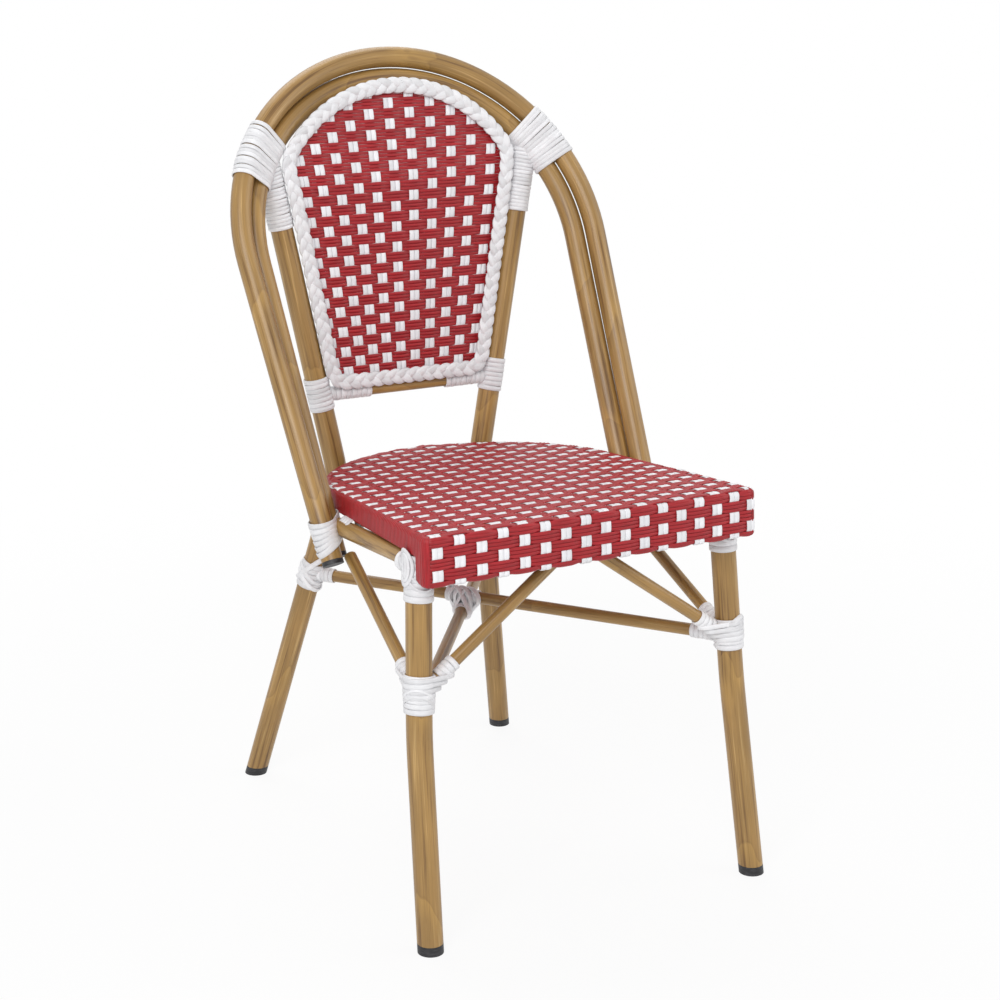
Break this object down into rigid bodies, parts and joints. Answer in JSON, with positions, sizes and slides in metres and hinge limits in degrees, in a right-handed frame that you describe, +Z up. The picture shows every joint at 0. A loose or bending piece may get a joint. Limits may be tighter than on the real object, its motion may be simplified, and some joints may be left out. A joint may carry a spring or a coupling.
{
  "type": "bistro chair",
  "caption": "Armless cafe chair with a bamboo-look tube frame, a double hoop round the back, white lashings at the joints and a checked woven seat and back panel.",
  "frame": {"origin": "on the floor, midway between the front and the rear feet, on the chair's middle plane", "axes": "+Z up, the front of the seat faces -Y; left in the node names is -X, as seen from in front"},
  "size_m": [0.476, 0.5665, 0.8934],
  "materials": {
    "bamboo_tube": "painted bamboo look with darker grain streaks, satin lacquer",
    "white_lashing": "flat white plastic strand, wound tight",
    "white_braid": "plaited white plastic strand",
    "check_weave": "woven red and white plastic strand, satin",
    "black_plug": "moulded black",
    "hidden_frame": "bare drawn tube, out of sight inside the weave",
    "screw_steel": "zinc plated"
  },
  "bodies": {
    "root": {"back_braid": "white_braid", "back_cross_rail": "bamboo_tube", "back_panel_frame": "hidden_frame", "back_weave": "check_weave", "cross_stretcher_lower": "bamboo_tube", "cross_stretcher_upper": "bamboo_tube", "foot_plug_front_left": "black_plug", "foot_plug_front_right": "black_plug", "foot_plug_rear_left": "black_plug", "foot_plug_rear_right": "black_plug", "front_brace_left": "bamboo_tube", "front_brace_right": "bamboo_tube", "front_leg_left": "bamboo_tube", "front_leg_right": "bamboo_tube", "hoop_front": "bamboo_tube", "hoop_plug_front_left": "black_plug", "hoop_plug_front_right": "black_plug", "hoop_plug_rear_left": "black_plug", "hoop_plug_rear_right": "black_plug", "hoop_rear": "bamboo_tube", "lashing_brace_left": "white_lashing", "lashing_brace_right": "white_lashing", "lashing_cross_rail_left": "white_lashing", "lashing_cross_rail_right": "white_lashing", "lashing_front_leg_top_left": "white_lashing", "lashing_front_leg_top_right": "white_lashing", "lashing_hoop_foot_left": "white_lashing", "lashing_hoop_foot_right": "white_lashing", "lashing_panel_left": "white_lashing", "lashing_panel_right": "white_lashing", "lashing_rear_leg_left": "white_lashing", "lashing_rear_leg_right": "white_lashing", "lashing_seat_back_left": "white_lashing", "lashing_seat_back_right": "white_lashing", "lashing_shoulder_left": "white_lashing", "lashing_shoulder_right": "white_lashing", "lashing_stretcher_crossing": "white_lashing", "lashing_upright_left": "white_lashing", "lashing_upright_right": "white_lashing", "rear_leg_left": "bamboo_tube", "rear_leg_right": "bamboo_tube", "seat_back_rail": "bamboo_tube", "seat_frame": "hidden_frame", "seat_front_rail": "bamboo_tube", "seat_screws": "screw_steel", "seat_side_rail_left": "bamboo_tube", "seat_side_rail_right": "bamboo_tube", "seat_weave": "check_weave", "side_brace_left": "bamboo_tube", "side_brace_right": "bamboo_tube"}
  },
  "joints": []
}
